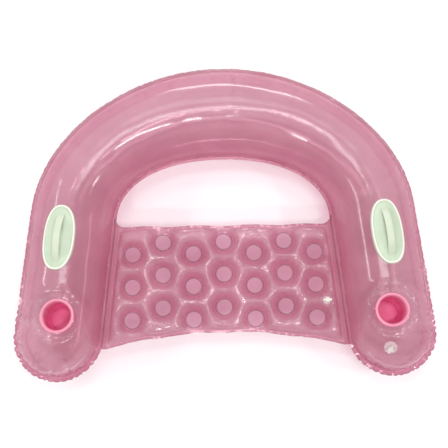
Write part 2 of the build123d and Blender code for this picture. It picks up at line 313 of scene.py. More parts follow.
def right_half_stations(fine):
    """Centre, outward direction, half width and inner hem, from the right lobe to the backrest's middle.

    The backrest's centre line is an ellipse that carries on from the arm without a kink.
    """
    rise = BACKREST_TOP - ARM_TOP[1]
    lean = ARM_TOP[0] * OUTWARD[1] / OUTWARD[0]
    below = lean * rise ** 2 / (ARM_TOP[0] ** 2 - 2 * rise * lean)
    half_depth = rise + below
    half_span = ARM_TOP[0] / math.sqrt(1 - (below / half_depth) ** 2)
    start = math.asin(below / half_depth)
    stations = []
    for t in np.linspace(0, 1, int(ARM_STATIONS * fine), endpoint=False):
        centre = np.array(LOBE) * (1 - t) + np.array(ARM_TOP) * t
        stations.append((centre, OUTWARD, ARM_WIDTH, HEM))
    for t in np.linspace(0, 1, int(ARCH_STATIONS * fine)):
        angle = start + (math.pi / 2 - start) * t
        centre = np.array([half_span * math.cos(angle),
                           BACKREST_TOP - half_depth * (1 - math.sin(angle))])
        outward = np.array([half_depth * math.cos(angle), half_span * math.sin(angle)])
        swell = math.sin(math.pi / 2 * t) ** 4
        stations.append((centre, outward / np.linalg.norm(outward),
                         ARM_WIDTH + (ARCH_WIDTH - ARM_WIDTH) * swell,
                         HEM + (OPENING_HEM - HEM) * swell))
    return stations


def both_halves(stations):
    """The right half's stations, then their mirror images back down to the left lobe."""
    flip = np.array([-1.0, 1.0])
    return stations + [(c * flip, n * flip, w, h) for c, n, w, h in stations[-2::-1]]


def lift_of(angle, half_width, side):
    """Height of the film above or below the seam, at an angle round the tube's section."""
    lift = TUBE_HEIGHT * np.sin(angle)
    if side < 0:
        lift = np.where(np.abs(np.cos(angle)) * half_width < REST_FLAT, TUBE_HEIGHT, lift)
    return lift


def section_angles(count):
    """Angles from one seam over the tube to the other, closer together beside the seams."""
    t = np.linspace(0, 1, count)
    return math.pi * (t - SEAM_CROWDING * np.sin(2 * math.pi * t))


def strip_points(stations, angles, side):
    """Points of the arms and the backrest as flat arrays, the points in a section, and the strip's length."""
    steps = np.linspace(1, 0, HEM_STEPS, endpoint=False)
    hem = np.concatenate([steps, 0 * angles, steps[::-1]])
    angle = np.concatenate([0 * steps, angles, 0 * steps + math.pi])
    rows = {key: [] for key in ("xy", "height", "along", "angle", "hem", "out", "calm")}
    along = 0.0
    last = None
    for centre, outward, width, inner_hem in stations:
        hem_width = np.where(angle < math.pi / 2, HEM, -inner_hem)
        across = width * np.cos(angle) + hem_width * hem
        edge = centre + width * outward
        along += 0 if last is None else float(np.linalg.norm(edge - last))
        last = edge
        rows["xy"].append(centre + across[:, None] * outward)
        rows["height"].append(np.where(hem > 0, 0, lift_of(angle, width, side)))
        rows["along"].append(np.full(len(angle), along))
        rows["angle"].append(angle)
        rows["hem"].append(hem)
        rows["out"].append(np.tile(outward, (len(angle), 1)))
        rows["calm"].append(np.where(angle > math.pi / 2, 1.0, 0.0))
    return {key: np.concatenate(value) for key, value in rows.items()}, len(angle), along


def lobe_points(sign, angles, side, turns, start):
    """Points of one rounded front end: half the section, turned about the lobe's middle.

    calm is 1 where the folds are faint, as on the strip's inner side. The points in a section come too.
    """
    steps = np.linspace(1, 0, HEM_STEPS, endpoint=False)
    meridian = angles[angles <= math.pi / 2 + 1e-6]
    hem = np.concatenate([steps, 0 * meridian])
    angle = np.concatenate([0 * steps, meridian])
    radius = ARM_WIDTH * np.cos(angle) + HEM * hem
    height = np.where(hem > 0, 0, lift_of(angle, ARM_WIDTH, side))
    middle = np.array([sign * LOBE[0], LOBE[1]])
    out = np.array([turned(OUTWARD * np.array([sign, 1.0]), -sign * t) for t in turns])
    calm = smooth_step((turns / math.pi - CALM_TURN) / (1 - CALM_TURN))
    count = len(turns)
    return {
        "xy": (middle + radius[None, :, None] * out[:, None, :]).reshape(-1, 2),
        "height": np.tile(height, count),
        "along": np.repeat(start - sign * turns * ARM_WIDTH, len(angle)),
        "angle": np.tile(angle, count),
        "hem": np.tile(hem, count),
        "out": np.repeat(out, len(angle), axis=0),
        "calm": np.repeat(calm, len(angle)),
    }, len(angle)


def fold_strength(data):
    """Share of the folds' depth on the outer side alone, and with the faint folds of the inner side."""
    growth = smooth_step((-data["xy"][:, 1] - GROWTH_START) / GROWTH_LENGTH)
    full = BACKREST_FOLDS + (1 - BACKREST_FOLDS) * growth
    return full, full + (INNER_FOLDS - full) * data["calm"]


def film_marks(data, away, fold, full):
    """What the material shows: hem, its edge, the darker band beside the seam, and painted highlights as pale
    lines beside the seam and on the deeper folds.
    """
    # line carries the painted highlights: a pale line along the seam and pale streaks on the deeper folds
    seam_highlight = np.exp(-((away - SEAM_HIGHLIGHT) / HIGHLIGHT_WIDTH) ** 2) * full * (1 - data["calm"])
    fold_highlight = FOLD_HIGHLIGHT * np.clip(fold - FAINT_FOLD, 0, 0.8) * smooth_step((away - 0.012) / 0.02)
    return {
        "hem": np.minimum(data["hem"] * 3, 1),
        "edge": cut_edge(data["hem"]) * (1 - 0.6 * data["calm"]),
        "band": smooth_step((BAND_END - away) / BAND_EASE),
        "line": seam_highlight + fold_highlight,
    }


def puckered(data, side):
    """Positions and attributes of the film, with its puckers, ruffled hem and slow waves."""
    inner = data["angle"] > math.pi / 2
    away = np.minimum(data["angle"], math.pi - data["angle"]) * (ARM_WIDTH + TUBE_HEIGHT) / 2
    along = data["along"] + 10.0
    full, strength = fold_strength(data)
    fold = creases(along, away, SEAM_FOLDS, 0 if side > 0 else 17)
    long_fold = creases(along, away, LONG_FOLDS, 90 if side > 0 else 120)
    fold = (fold + LONG_FOLD_SHARE * long_fold) * strength
    wave = ripple(along + 0.3 * away, LONG_WAVE, 2) + ripple(away * 1.3 + along * 0.25, SHORT_WAVE, 3)
    push = wave * smooth_step(away / 0.06) - SEAM_FOLD_DEPTH * fold * smooth_step(away / 0.007)
    push = np.where(data["hem"] == 0, push, 0)

    ruffle = ripple(along, FINE_RUFFLE, 1) + ripple(along, BROAD_RUFFLE, 0)
    scallop = SCALLOP * creases(along, 0 * along, SEAM_FOLDS, 0) + ripple(along, FRAY, 3)
    amount = strength * data["hem"]
    outward = push * np.cos(data["angle"]) - np.where(inner, -1.0, 1.0) * scallop * amount
    xy = data["xy"] + data["out"] * outward[:, None]
    height = data["height"] + push * np.sin(data["angle"]) + FILM_GAP
    z = np.maximum(SEAM_Z + side * height + ruffle * amount, 0.0)
    return np.column_stack([xy, z]), film_marks(data, away, fold, full)


def main_film(name, side, fine):
    """Upper (side 1) or lower (side -1) sheet of the U-shaped chamber, hems included."""
    stations = both_halves(right_half_stations(fine))
    angles = section_angles(2 * int(SECTION_POINTS * fine) + 1)
    strip, columns, length = strip_points(stations, angles, side)
    parts = [strip]
    faces = grid_faces(len(stations), columns, flip=side < 0)
    start = len(strip["xy"])
    turns = np.linspace(0, math.pi, int(LOBE_STATIONS * fine))
    for sign, begin in ((1, 0.0), (-1, length)):
        lobe, count = lobe_points(sign, angles, side, turns, begin)
        parts.append(lobe)
        faces += grid_faces(len(turns), count, flip=(sign > 0) != (side < 0), start=start)
        start += len(lobe["xy"])
    data = {key: np.concatenate([part[key] for part in parts]) for key in strip}
    points, values = puckered(data, side)
    film = mesh_object(name, points, faces, values)
    mesh = bmesh.new()
    mesh.from_mesh(film.data)
    bmesh.ops.remove_doubles(mesh, verts=mesh.verts, dist=0.0002)
    if side > 0:
        for sign in (1, -1):
            open_well(mesh, sign)
    mesh.to_mesh(film.data)
    mesh.free()
    if side > 0:
        dx, dy = MAIN_VALVE[0] - LOBE[0], MAIN_VALVE[1] - LOBE[1]
        dz = TUBE_HEIGHT * math.sqrt(1 - (math.hypot(dx, dy) / ARM_WIDTH) ** 2)
        normal = (dx / ARM_WIDTH ** 2, dy / ARM_WIDTH ** 2, dz / TUBE_HEIGHT ** 2)
        bed_valve(film, (*MAIN_VALVE, SEAM_Z + dz), normal, *MAIN_VALVE_FIT)
    return film


def ring_shape(out, depth, middle, width):
    """Cross-section of a soft ring round a well."""
    return depth * math.exp(-((out - middle) / width) ** 2)


def open_well(mesh, sign):
    """Draws the film up to a well's rim in radial puckers and cuts the hole under the rim."""
    def offset(vert):
        dx = vert.co.x - sign * CUP[0]
        dy = vert.co.y - CUP[1]
        return dx, dy, math.hypot(dx, dy)

    def near(vert, limit):
        return vert.co.z > SEAM_Z + HEM_CLEAR and offset(vert)[2] < limit

    edges = [e for e in mesh.edges if all(near(v, RIM_RADIUS + COLLAR) for v in e.verts)]
    bmesh.ops.subdivide_edges(mesh, edges=edges, cuts=1, use_grid_fill=True)
    for vert in mesh.verts:
        if not near(vert, RIM_RADIUS + 1.4 * COLLAR):
            continue
        dx, dy, away = offset(vert)
        turn = (math.atan2(dy, dx) + math.pi) * RIM_RADIUS
        out = max(away - RIM_RADIUS, 0.0)
        pull = 1 - float(smooth_step(out / COLLAR))
        vert.co.z += (RIM_LOW.z - UNDER_RIM - vert.co.z) * pull
        fold = float(creases(turn, out, WELL_FOLDS, 60 + 40 * sign))
        vert.co.z -= WELL_FOLD_DEPTH * fold * float(smooth_step((away - RIM_RADIUS) / 0.01))
        vert.co.z -= ring_shape(out, *WELL_GROOVE)
        lump = 1 + float(ripple(np.float64(turn * 1.6 + 5), LUMPINESS, 2))
        vert.co.z += lump * ring_shape(out, *WELL_LUMPS)
    inside = [v for v in mesh.verts if near(v, WELL_HOLE)]
    bmesh.ops.delete(mesh, geom=inside, context="VERTS")


# ------------------------------------------------------------
# Seat
# ------------------------------------------------------------

def seat_side(y, gap):
    """x of a line beside the right arm, gap away from the arm's centre line."""
    return LOBE[0] + (y - LOBE[1]) * ARM_SLOPE - gap / OUTWARD[0]


def weld_places():
    """Middles of the spot welds, column by column from the left and from back to front."""
    places = []
    for column in range(WELD_COLUMNS):
        first = EVEN_COLUMN if column % 2 else ODD_COLUMN
        for row in range(WELDS_IN_COLUMN):
            places.append(((column - WELD_COLUMNS // 2) * WELD_PITCH, first - row * WELD_ROW))
    return places


def front_line(x):
    """Concave front edge through the seat's two front corners and its middle."""
    half = seat_side(SEAT_LOW.y, LOBE_REACH)
    sag = SEAT_FRONT - SEAT_LOW.y
    radius = (half ** 2 + sag ** 2) / (2 * sag)
    return SEAT_FRONT - radius + np.sqrt(np.maximum(radius ** 2 - x ** 2, 0))


def seat_grid():
    """x, y and the hem share across and along, for every point of a seat film."""
    across = np.linspace(-1, 1, int(SEAT_WIDTH / SEAT_STEP * FINE))
    down = np.linspace(0, 1, int(SEAT_LENGTH / SEAT_STEP * FINE))
    steps = np.linspace(1, 0, HEM_STEPS, endpoint=False)
    zero = 0 * steps
    u, v = np.meshgrid(np.concatenate([zero - 1, across, zero + 1]),
                       np.concatenate([zero, down, zero + 1]))
    hem_u, hem_v = np.meshgrid(np.concatenate([-steps, 0 * across, steps[::-1]]),
                               np.concatenate([steps, 0 * down, -steps[::-1]]))
    corner = seat_side(SEAT_LOW.y, LOBE_REACH + SEAT_SIDE_HEM)
    scallop = SEAT_SCALLOP * np.cos(math.pi * u * corner / WELD_PITCH) * (1 - u ** 8)
    fray = ripple(u * corner + 9, SEAT_FRAY, 1)
    back = SEAT_HIGH.y - SEAT_HEM - scallop
    front = front_line(u * corner) + SEAT_HEM - scallop + fray
    y = back + v * (front - back)
    hem_x = hem_u * (SEAT_SIDE_HEM + SEAT_TUCK)
    x = u * seat_side(y, LOBE_REACH + SEAT_SIDE_HEM) + hem_x / OUTWARD[0]
    reach = (np.abs(x) - seat_side(y, LOBE_REACH) + CORNER_RADIUS) / CORNER_RADIUS
    fillet = CORNER_RADIUS * (1 - np.sqrt(1 - np.clip(reach, 0, 0.999) ** 2))
    y = y + np.where(hem_v > 0, hem_v * (SEAT_HEM + fillet), hem_v * SEAT_HEM)
    return x, y, hem_u, hem_v


def snap_to_welds(x, y):
    """Moves the points next to each weld's edge on to it."""
    for wx, wy in weld_places():
        away = np.hypot(x - wx, y - wy)
        near = np.abs(away - WELD_RADIUS) < 0.55 * SEAT_STEP / FINE
        scale = np.where(near, WELD_RADIUS / np.maximum(away, 1e-9), 1)
        x = wx + (x - wx) * scale
        y = wy + (y - wy) * scale
    return x, y


def membrane(held):
    """A film under even pressure, 0 where it is held and about 1 at its highest places."""
    rise = np.zeros(held.shape)
    free = ~held[1:-1, 1:-1]
    for _ in range(int(MEMBRANE_STEPS * FINE)):
        mean = (rise[:-2, 1:-1] + rise[2:, 1:-1] + rise[1:-1, :-2] + rise[1:-1, 2:]) / 4
        rise[1:-1, 1:-1] = np.where(free, mean + MEMBRANE_PUSH, 0)
    return rise / np.percentile(rise, 96)


def puffed(x, y):
    """Height of the blown-up film, held along the hems and at the spot welds."""
    held = np.ones(x.shape, bool)
    held[1:-1, 1:-1] = False
    nearest = np.full(x.shape, 1.0)
    turn = np.zeros(x.shape)
    number = np.zeros(x.shape, int)
    for k, (wx, wy) in enumerate(weld_places()):
        away = np.hypot(x - wx, y - wy)
        held |= away < WELD_RADIUS + 1e-6
        closer = away < nearest
        nearest = np.where(closer, away, nearest)
        turn = np.where(closer, np.arctan2(y - wy, x - wx), turn)
        number = np.where(closer, k, number)
    rise = membrane(held)
    edge = np.maximum(nearest - WELD_RADIUS, 0)
    ridge = np.clip(edge / (WELD_PITCH / 2 - WELD_RADIUS), 0, 1.25) ** 0.85
    soft = np.clip(rise, 0, 1.2) ** 0.70
    height = SEAT_HEIGHT * (PUFF_SHARE * soft + RIDGE_SHARE * ridge * smooth_step(2.2 * rise))
    spokes = creases((turn + math.pi + number * 5) * WELD_RADIUS, edge, WELD_FOLDS, 30)
    height -= WELD_FOLD_DEPTH * spokes * smooth_step(edge / 0.005)
    slow = wander(x * 1.1 + y * 0.7 + 4, WAVE_SPACING, 1)
    slow += wander(y * 1.3 - x * 0.6 + 4, CROSS_SPACING, 3)
    height += SEAT_WAVE * slow * smooth_step(height / 0.02)
    return np.where(held, 0, np.maximum(height, LEAST_PUFF))


def seat_film(name, side):
    """Upper or lower film of the seat, quilted round its spot welds, flat along its hems."""
    x, y, hem_u, hem_v = seat_grid()
    x, y = snap_to_welds(x, y)
    h = HEM_STEPS
    height = np.zeros(x.shape)
    height[h:-h, h:-h] = puffed(x[h:-h, h:-h], y[h:-h, h:-h])
    hem = np.maximum(np.abs(hem_u), np.abs(hem_v))
    loose = np.abs(hem_v) * (hem_u == 0)
    flutter = ripple(x + 5, SEAT_FLUTTER, 0) + ripple(x + 5, SEAT_TREMOR, 1)
    gap = FILM_GAP * (1 - 0.7 * np.abs(hem_u))
    z = SEAM_Z + side * (height + gap) + loose * flutter
    points = np.column_stack([x.ravel(), y.ravel(), z.ravel()])
    inside = np.zeros(x.shape, bool)
    nearest = np.full(x.shape, 1.0)
    second = np.full(x.shape, 1.0)
    for wx, wy in weld_places():
        away = np.hypot(x - wx, y - wy)
        inside |= away < WELD_RADIUS - 1e-6
        second = np.minimum(second, np.maximum(nearest, away))
        nearest = np.minimum(nearest, away)
    # painted highlights: pale lines along the ridges between the welds, uneven in strength
    patchy_highlight = 0.40 + 0.40 * wander(x * 1.7 - y + 4, 0.019, 0)
    ridge_highlight = np.exp(-((second - nearest) / RIDGE_HIGHLIGHT) ** 2) * smooth_step((height - 0.008) / 0.012)
    inside = inside.ravel()
    faces = [f for f in grid_faces(*x.shape, flip=side > 0) if not any(inside[i] for i in f)]
    values = {
        "hem": np.minimum(hem * 3, 1).ravel(),
        "edge": cut_edge(np.abs(hem_v)).ravel(),
        "band": (0.9 * smooth_step((WELD_RADIUS + WELD_BAND - nearest) / WELD_BAND_EASE)).ravel(),
        "line": (0.9 * ridge_highlight * patchy_highlight).ravel(),
    }
    film = mesh_object(name, points, faces, values)
    mesh = bmesh.new()
    mesh.from_mesh(film.data)
    bmesh.ops.delete(mesh, geom=[v for v in mesh.verts if not v.link_faces], context="VERTS")
    mesh.to_mesh(film.data)
    mesh.free()
    if side > 0:
        bed_valve(film, (*SEAT_VALVE, SEAT_HIGH.z), (0, 0, 1), *SEAT_VALVE_FIT)
    return film


def weld_discs(name):
    """The fused spots: flat discs with a raised bead round them and fine wrinkles.

    The wrinkles are deeper in every other disc of the front row.
    """
    # Each ring's radius as a share of the weld's, and its height as a share of the bead's
    rings = [(0.0, 0.0), (0.25, 0.0), (0.5, 0.0), (0.72, 0.0), (0.86, 0.0), (0.93, 0.2), (0.965, 0.9),
             (1.0, 1.0), (1.035, 0.3), (1.05, -0.4)]
    segments = 48
    points, faces, rim = [], [], []
    for number, (wx, wy) in enumerate(weld_places()):
        column, row = divmod(number, WELDS_IN_COLUMN)
        wrinkled = 1.0 if row == WELDS_IN_COLUMN - 1 and column % 2 == 0 else 0.25
        tilt = FULL_TURN * TABLE[0][number]
        start = len(points)
        for share, bead in rings:
            for k in range(segments):
                angle = 2 * math.pi * k / segments
                x = share * WELD_RADIUS * math.cos(angle)
                y = share * WELD_RADIUS * math.sin(angle)
                line = x * math.cos(tilt) + y * math.sin(tilt)
                wrinkle = WRINKLE * wrinkled * math.sin(line / WRINKLE_PITCH) * max(0, 1 - share ** 4)
                points.append((wx + x, wy + y, SEAM_Z + BEAD * bead + wrinkle))
                rim.append(float(0.92 < share < 1.04))
        faces += grid_faces(len(rings), segments, around=True, flip=True, start=start)
    discs = mesh_object(name, points, faces, {"edge": rim})
    mesh = bmesh.new()
    mesh.from_mesh(discs.data)
    bmesh.ops.remove_doubles(mesh, verts=mesh.verts, dist=0.00005)
    mesh.to_mesh(discs.data)
    mesh.free()
    return discs


# ------------------------------------------------------------
# Drink wells and handles
# ------------------------------------------------------------

def well(name, sign):
    """A soft rolled rim, a slightly crumpled wall that folds in at its foot, and a floor, with painted shade
    that darkens the well towards its floor.
    """
    r, d, rim = WELL_RADIUS, WELL_DEPTH, RIM_RADIUS
    # Radius, and height above the rim's top, from under the rim down to the middle of the floor
    profile = [
        (rim + 0.0005, -0.0060), (rim + 0.0009, -0.0040), (rim - 0.0004, -0.0016),
        (rim - 0.0030, -0.0002), (rim - 0.0065, 0.0003), (r + 0.0035, -0.0004),
        (r + 0.0012, -0.0022), (r, -0.0055), (r - 0.0002, -0.0110),
        (r - 0.0002, -0.02), (r - 0.0004, -0.03), (r - 0.0006, -0.042), (r - 0.0008, -0.054),
        (r - 0.0010, -0.066), (r - 0.0014, -0.076), (r - 0.0026, -0.084),
        (r - 0.0056, -0.0895), (r - 0.0075, -0.0925), (r - 0.0052, -0.0955),
        (r - 0.0045, -d + 0.0004), (r - 0.0085, -d + 0.0016), (r - 0.0140, -d + 0.0024),
        (0.018, -d + 0.0016), (0.008, -d + 0.0010), (0.0004, -d + 0.0008),
    ]
    segments = 96
    points, tone = [], []
    for radius, drop in profile:
        # deep: 0 under the rim, 1 at the floor; it sets the crumples' depth and paints shade that darkens the
        # well towards its floor
        deep = float(smooth_step((-drop - 0.012) / 0.07))
        for k in range(segments):
            angle = 2 * math.pi * k / segments
            around = angle * WELL_RADIUS + 20 + 3 * sign
            loose = ripple(around, BROAD_CRUMPLE, 0) + ripple(around, FINE_CRUMPLE, 2)
            slow = math.sin(angle * 2 + sign) + 0.6 * math.sin(angle * 3 + 2)
            edge = min(1.0, radius / WELL_RADIUS) ** 6
            bulge = WALL_BULGE * float(smooth_step((-drop - 0.006) / 0.03))
            out = radius + edge * (RIM_WOBBLE * slow + WALL_CRUMPLE * deep * loose + bulge)
            z = RIM_HIGH.z + drop + RIM_WAVE * slow * (1 - deep) + FLOOR_CRUMPLE * deep * edge * loose
            points.append((sign * CUP[0] + out * math.cos(angle), CUP[1] + out * math.sin(angle), z))
            tone.append(deep)
    faces = grid_faces(len(profile), segments, around=True, flip=True)
    return mesh_object(name, points, faces, {"deep": tone})


def arm_top(across):
    """Height of the arm's film, across metres from the arm's centre line."""
    return SEAM_Z + TUBE_HEIGHT * math.sqrt(1 - (across / ARM_WIDTH) ** 2)


def handle_frame(sign):
    """Turns a handle's own across, along and height into world coordinates."""
    out = OUTWARD * np.array([sign, 1.0])
    ahead = np.array([-out[1], out[0]]) * sign

    def to_world(across, along, z):
        return (sign * HANDLE[0] + across * out[0] + along * ahead[0],
                HANDLE[1] + across * out[1] + along * ahead[1], z)
    return to_world


def handle_offset():
    """How far a handle's middle is outside the arm's centre line."""
    middle = LOBE[0] + (HANDLE[1] - LOBE[1]) * ARM_SLOPE
    return (HANDLE[0] - middle) * OUTWARD[0]


def handle_base(name, sign):
    """Oval base that follows the arm, with a rounded lip and a shallow dished floor."""
    to_world = handle_frame(sign)
    offset = handle_offset()
    lip = PAD + LIP
    # Each ring's distance in from the base's edge, and its height above the arm
    rings = [(-0.0012, -0.0006), (-0.0004, 0.0010), (0.0004, 0.0032), (0.0014, lip - 0.0010),
             (0.0028, lip), (0.0046, lip - 0.0002), (0.0062, lip - 0.0014), (0.0072, PAD + 0.0010),
             (0.0084, PAD + 0.0002), (0.0105, PAD - 0.0002), (0.016, PAD - 0.0004), (0.024, PAD - 0.0004),
             (0.034, PAD), (0.042, PAD), (0.0488, PAD)]
    segments = 128
    points, tone = [], []
    for inset, height in rings:
        for k in range(segments):
            angle = 2 * math.pi * k / segments
            c, t = math.cos(angle), math.sin(angle)
            across = (HANDLE_HALF[0] - inset) * math.copysign(abs(c) ** FULLNESS, c)
            along = (HANDLE_HALF[1] - inset) * math.copysign(abs(t) ** FULLNESS, t)
            points.append(to_world(across, along, arm_top(offset + across) + height))
            tone.append(1.0 if 0.0005 < inset < 0.0070 else 0.0)
    faces = grid_faces(len(rings), segments, around=True, flip=sign > 0)
    return mesh_object(name, points, faces, {"lip": tone})


def handle_grip(name, sign):
    """Arched hand grip, rounded in section, that widens where it runs into the base."""
    to_world = handle_frame(sign)
    crown = arm_top(handle_offset())
    sections = 64
    around = 28
    points = []
    for s in np.linspace(-1, 1, sections):
        arch = max(0.0, 1 - s * s)
        under = max(0.0, 1 - (s / GAP_SHARE) ** 2)
        top = crown + PAD - GRIP_SINK + (FINGER_GAP + GRIP_THICKNESS + GRIP_SINK) * arch ** 0.85
        bottom = crown - GRIP_FOOT + (PAD + FINGER_GAP + GRIP_FOOT) * under ** 0.8
        middle = (top + bottom) / 2
        thick = max((top - bottom) / 2, 0.0004)
        flare = (1 + 0.25 * abs(s) ** 6) * (1 - 0.55 * smooth_step((abs(s) - 0.9) / 0.1))
        wide = GRIP_WIDTH / 2 * flare
        for k in range(around):
            angle = 2 * math.pi * k / around
            c, t = math.cos(angle), math.sin(angle)
            across = wide * math.copysign(abs(c) ** SQUARENESS, c)
            groove = GRIP_GROOVE * math.exp(-((across / wide) ** 2) / 0.5) if t > 0 else 0.0
            z = middle + thick * math.copysign(abs(t) ** SQUARENESS, t) - groove
            points.append(to_world(across, s * GRIP_HALF, z))
    faces = grid_faces(sections, around, around=True, flip=sign > 0)
    ends = [tuple(range(around)), tuple(range(len(points) - around, len(points)))]
    faces += [ends[0] if sign < 0 else ends[0][::-1], ends[1][::-1] if sign < 0 else ends[1]]
    return mesh_object(name, points, faces, {"lip": [GRIP_TONE] * len(points)})


# ------------------------------------------------------------
# Materials
# ------------------------------------------------------------

MIX_A, MIX_B, MIX_RESULT = 6, 7, 2             # the colour sockets of a Mix node

# Clear film: how far the tint goes to its deep colour, and how much the skin covers, also where it is
# thickened into painted highlights
STEEP_TINT, BAND_TINT, HEM_TINT, EDGE_TINT = 0.85, 0.40, 0.65, 0.70
STEEP_COVER, HEM_COVER, CLOUD_COVER, HIGHLIGHT_COVER, MOST_COVER = 0.24, 0.04, 0.16, 0.28, 0.95
EDGE_COLOR = (0.30, 0.16, 0.20)                # the cut edge of the hems
FILM_IOR = 1.9

# Opaque vinyl: how deep red, green and blue light go in, and how much its roughness varies
SUBSURFACE_RADIUS = (0.004, 0.002, 0.002)
WEAR = 0.16


class Nodes:
    """Short ways to add and join the nodes of one material."""

    def __init__(self, name):
        self.material = bpy.data.materials.new(name)
        self.material.use_nodes = True
        tree = self.material.node_tree
        tree.nodes.clear()
        self.nodes = tree.nodes
        self.links = tree.links
        self.output = self.nodes.new("ShaderNodeOutputMaterial")
        self.place = self.nodes.new("ShaderNodeTexCoord").outputs["Object"]

    def set(self, socket, value):
        """Joins a socket to another one, or gives it a fixed number or colour."""
        if isinstance(value, bpy.types.NodeSocket):
            self.links.new(value, socket)
        elif isinstance(value, tuple) and len(value) == 3 and socket.type == "RGBA":
            socket.default_value = (*value, 1)
        else:
            socket.default_value = value

    def finish(self, shader):
        self.links.new(shader, self.output.inputs["Surface"])
        return self.material

    def noise(self, scale, detail=3.0, distortion=0.0):
        node = self.nodes.new("ShaderNodeTexNoise")
        self.set(node.inputs["Vector"], self.place)
        self.set(node.inputs["Scale"], scale)
        self.set(node.inputs["Detail"], detail)
        self.set(node.inputs["Distortion"], distortion)
        return node.outputs["Fac"]

    def ramp(self, source, stops):
        node = self.nodes.new("ShaderNodeValToRGB")
        elements = node.color_ramp.elements
        while len(elements) < len(stops):
            elements.new(0.5)
        for element, (position, color) in zip(elements, stops):
            element.position = position
            element.color = (*color, 1)
        self.set(node.inputs["Fac"], source)
        return node.outputs["Color"]

    def attribute(self, name):
        node = self.nodes.new("ShaderNodeAttribute")
        node.attribute_name = name
        return node.outputs["Fac"]

    def math(self, operation, a, b):
        node = self.nodes.new("ShaderNodeMath")
        node.operation = operation
        self.set(node.inputs[0], a)
        self.set(node.inputs[1], b)
        return node.outputs["Value"]

    def mix(self, share, a, b):
        node = self.nodes.new("ShaderNodeMix")
        node.data_type = "RGBA"
        self.set(node.inputs["Factor"], share)
        self.set(node.inputs[MIX_A], a)
        self.set(node.inputs[MIX_B], b)
        return node.outputs[MIX_RESULT]

    def bump(self, height, strength, distance):
        node = self.nodes.new("ShaderNodeBump")
        self.set(node.inputs["Strength"], strength)
        self.set(node.inputs["Distance"], distance)
        self.set(node.inputs["Height"], height)
        return node.outputs["Normal"]

    def facing(self, blend):
        node = self.nodes.new("ShaderNodeLayerWeight")
        self.set(node.inputs["Blend"], blend)
        return node.outputs["Facing"]


def film_material(name, light, deep, body, cover, roughness=0.15, shine=1.0):
    """Clear coloured vinyl: the tint deepens where the film is steep, under a glossy skin that is thickened
    into painted highlights along the line attribute.
    """
    n = Nodes(name)
    steep = n.facing(0.5)
    hem = n.attribute("hem")
    cloud = n.noise(7.0, 3.0, 0.8)
    tint = n.mix(n.math("MULTIPLY", steep, STEEP_TINT), light, deep)
    tint = n.mix(n.math("MULTIPLY", n.attribute("band"), BAND_TINT), tint, deep)
    tint = n.mix(n.math("MULTIPLY", hem, HEM_TINT), tint, deep)
    tint = n.mix(n.math("MULTIPLY", n.attribute("edge"), EDGE_TINT), tint, EDGE_COLOR)
    clear = n.nodes.new("ShaderNodeBsdfTransparent")
    n.set(clear.inputs["Color"], tint)

    skin = n.nodes.new("ShaderNodeBsdfPrincipled")
    pale = tuple(min(1.0, c * 1.25 + 0.06) for c in body)
    n.set(skin.inputs["Base Color"], n.ramp(cloud, [(0.32, body), (0.70, pale)]))
    n.set(skin.inputs["Roughness"], roughness)
    n.set(skin.inputs["IOR"], FILM_IOR)
    n.set(skin.inputs["Specular IOR Level"], shine)
    n.set(skin.inputs["Normal"], n.bump(n.noise(190.0, 2.0), 0.10, 0.0004))

    share = n.math("MULTIPLY", n.math("POWER", steep, 2.0), STEEP_COVER)
    share = n.math("ADD", share, cover)
    share = n.math("ADD", share, n.math("MULTIPLY", hem, HEM_COVER))
    share = n.math("ADD", share, n.math("MULTIPLY", n.math("SUBTRACT", cloud, 0.5), CLOUD_COVER))
    # painted highlights: more skin along the pale lines of the line attribute
    share = n.math("ADD", share, n.math("MULTIPLY", n.attribute("line"), HIGHLIGHT_COVER))
    mix = n.nodes.new("ShaderNodeMixShader")
    n.set(mix.inputs["Fac"], n.math("MINIMUM", share, MOST_COVER))
    n.links.new(clear.outputs[0], mix.inputs[1])
    n.links.new(skin.outputs[0], mix.inputs[2])
    return n.finish(mix.outputs[0])


def vinyl_material(name, low, high, roughness, overlay=None):
    """Opaque soft vinyl with a faint grain and uneven colour; the last argument is (attribute, colour), a
    second colour that the attribute mixes in: painted shade in the wells, the lip's own colour on the
    handles.
    """
    n = Nodes(name)
    skin = n.nodes.new("ShaderNodeBsdfPrincipled")
    color = n.ramp(n.noise(24.0, 4.0, 0.4), [(0.3, low), (0.7, high)])
    if overlay:
        color = n.mix(n.attribute(overlay[0]), color, overlay[1])
    n.set(skin.inputs["Base Color"], color)
    worn = n.math("MULTIPLY", n.noise(60.0), WEAR)
    n.set(skin.inputs["Roughness"], n.math("ADD", worn, roughness - WEAR / 2))
    n.set(skin.inputs["Subsurface Weight"], 0.2)
    n.set(skin.inputs["Subsurface Radius"], SUBSURFACE_RADIUS)
    n.set(skin.inputs["Normal"], n.bump(n.noise(420.0), 0.12, 0.0005))
    return n.finish(skin.outputs[0])


def paint(obj, material):
    """Gives a piece one material."""
    obj.data.materials.clear()
    obj.data.materials.append(material)


# ------------------------------------------------------------
# Camera, lights and floor
# ------------------------------------------------------------

CAMERA_PLACE = Vector((0.0, -0.532, 2.445))
CAMERA_AIM = Vector((0.003, -0.025, 0.14))
CAMERA_ROLL = math.radians(-1.1)
CAMERA_LENS = 58.0
SENSOR_WIDTH = 36.0

WORLD_STRENGTH = 0.575
FLOOR_HALF = 6.0
FLOOR_DROP = 0.0005                            # the floor is this far below the float
FLOOR_COLOR = (0.94, 0.94, 0.94)

